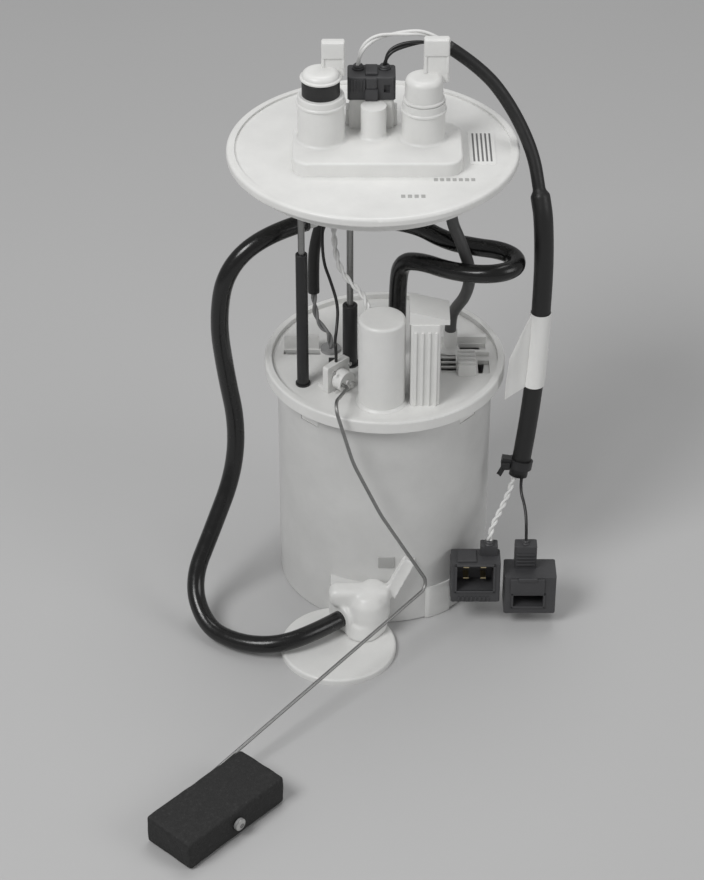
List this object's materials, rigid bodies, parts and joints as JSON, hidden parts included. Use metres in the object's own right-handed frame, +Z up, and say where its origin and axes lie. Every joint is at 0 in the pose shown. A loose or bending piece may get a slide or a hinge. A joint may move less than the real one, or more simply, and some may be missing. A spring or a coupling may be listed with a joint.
{
  "type": "fuel pump module",
  "caption": "In-tank fuel pump module: reservoir pot with pump, spring-loaded flange on guide rods, level sender with float, hoses and wiring harness.",
  "frame": {"origin": "centre of the reservoir pot base, on the surface that it stands on", "axes": "+Z up through the flange, +X to the right of the two ports, -Y towards the side where the float arm hangs"},
  "size_m": [0.2036, 0.3185, 0.308],
  "materials": {
    "white_plastic": "moulded acetal, off-white",
    "natural_plastic": "moulded acetal, natural",
    "black_plastic": "moulded nylon, black",
    "dark_grey_plastic": "moulded nylon, dark grey",
    "grey_plastic": "moulded plastic, grey",
    "hose_rubber": "black hose, glossy",
    "grey_tube": "soft grey tube",
    "seal_rubber": "black seal rubber",
    "foam": "closed-cell float foam, black",
    "sheath": "black sleeving",
    "white_wire": "white wire insulation",
    "black_wire": "black wire insulation",
    "grey_wire": "grey wire insulation",
    "steel": "drawn steel",
    "zinc_steel": "zinc-plated steel",
    "brass": "tinned brass",
    "copper": "copper segments",
    "magnet": "ferrite",
    "carbon": "carbon",
    "ceramic": "ceramic card with printed tracks",
    "filter_cloth": "woven filter cloth",
    "paper": "blank label film"
  },
  "bodies": {
    "pot": {"black_wire_lower": "black_wire", "black_wires_upper": "black_wire", "cable_tie": "black_plastic", "connector_blades": "brass", "feed_hose": "hose_rubber", "filter_box": "white_plastic", "filter_element": "filter_cloth", "flag_label": "paper", "foot_strainer": "white_plastic", "guide_spring_centre": "steel", "guide_spring_left": "steel", "guide_tube_centre": "black_plastic", "guide_tube_left": "black_plastic", "harness_sheath": "sheath", "inlet_filter": "filter_cloth", "jet_pump_body": "white_plastic", "left_connector": "dark_grey_plastic", "pot": "natural_plastic", "pot_cover": "white_plastic", "pressure_regulator": "zinc_steel", "pump_brushes": "carbon", "pump_can": "zinc_steel", "pump_end_cap": "white_plastic", "pump_holder": "white_plastic", "pump_inlet_cover": "white_plastic", "pump_magnets": "magnet", "pump_terminals": "brass", "pump_wires": "grey_wire", "regulator_tower": "white_plastic", "regulator_wires": "white_wire", "return_hose": "hose_rubber", "right_connector": "dark_grey_plastic", "rubber_isolators": "seal_rubber", "sender_card": "ceramic", "sender_housing": "white_plastic", "sender_wire": "black_wire", "vent_tube": "grey_tube", "white_wires_lower": "white_wire", "white_wires_upper": "white_wire", "wire_grommet": "seal_rubber", "wire_sleeve": "sheath"},
    "flange": {"flange_plate": "white_plastic", "flange_nozzles": "white_plastic", "guide_rods": "steel", "rod_clips": "steel", "header_socket": "white_plastic", "header_pins": "brass", "header_connector": "dark_grey_plastic", "port_seal": "seal_rubber", "flange_label": "paper"},
    "return_plug": {"return_plug": "white_plastic"},
    "feed_plug": {"feed_plug": "white_plastic"},
    "sender_arm": {"sender_rotor": "white_plastic", "float_arm": "steel", "float_clip": "grey_plastic"},
    "float": {"float": "foam"},
    "pump_rotor": {"pump_shaft": "steel", "pump_impeller": "black_plastic", "pump_armature": "steel", "pump_commutator": "copper"}
  },
  "joints": [
    {"name": "flange_slide", "type": "slide", "parent": "pot", "child": "flange", "axis": [0, 0, 1], "range_m": [-0.03, 0], "stiffness_N_per_m": 250, "springref_m": 0.03, "deforming": ["guide_spring_left", "guide_spring_centre", "return_hose", "feed_hose", "vent_tube", "wire_sleeve", "sender_wire", "regulator_wires"]},
    {"name": "return_plug_pull", "type": "slide", "parent": "flange", "child": "return_plug", "axis": [0, 0, 1], "range_m": [0, 0.03]},
    {"name": "feed_plug_pull", "type": "slide", "parent": "flange", "child": "feed_plug", "axis": [0, 0, 1], "range_m": [0, 0.03]},
    {"name": "arm_swing", "type": "hinge", "parent": "pot", "child": "sender_arm", "pos_m": [-0.017, -0.033, 0.137], "axis": [-0.737, 0.6759, 0], "range_deg": [0, 50]},
    {"name": "float_swivel", "type": "hinge", "parent": "sender_arm", "child": "float", "pos_m": [-0.08189, -0.20511, 0.0086], "axis": [0.737, -0.6759, 0], "range_deg": [0, 55]},
    {"name": "pump_spin", "type": "hinge", "parent": "pot", "child": "pump_rotor", "pos_m": [0.008, 0.012, 0.05], "axis": [0, 0, 1], "continuous": true}
  ]
}
